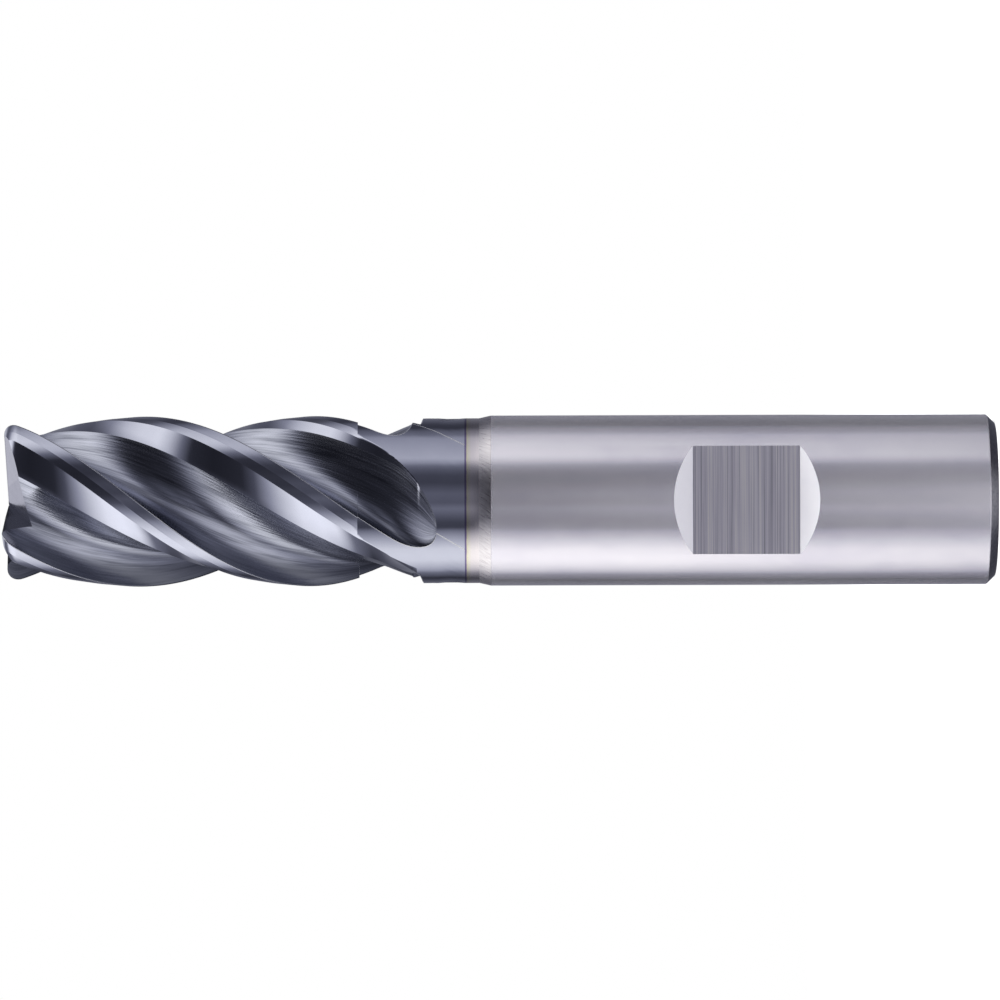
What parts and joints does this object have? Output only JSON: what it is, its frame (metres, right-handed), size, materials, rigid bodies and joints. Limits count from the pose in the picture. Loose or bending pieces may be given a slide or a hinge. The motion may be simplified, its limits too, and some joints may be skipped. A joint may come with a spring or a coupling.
{
  "type": "end mill",
  "caption": "Solid carbide end mill with helical flutes, rounded tooth corners, slim coated neck and straight shank with a clamping flat.",
  "frame": {"origin": "centre of the flat end of the shank", "axes": "+Z along the tool axis towards the cutting end, -Y out of the clamping flat on the shank"},
  "size_m": [0.016, 0.016, 0.093],
  "materials": {
    "coating": "hard dark blue-grey coating over ground carbide, mirror bright on the lands and streaked in the flutes",
    "web_coating": "the same coating in the bottom of the flutes",
    "ground_carbide": "bare ground carbide, warm silver, fine circumferential grinding marks"
  },
  "bodies": {
    "root": {"end_teeth": "coating", "tooth_1": "coating", "tooth_2": "coating", "tooth_3": "coating", "tooth_4": "coating", "cutting_web": "web_coating", "fluted_neck": "coating", "neck_band": "ground_carbide", "shank_front": "ground_carbide", "clamping_section": "ground_carbide", "shank_base": "ground_carbide"}
  },
  "joints": []
}
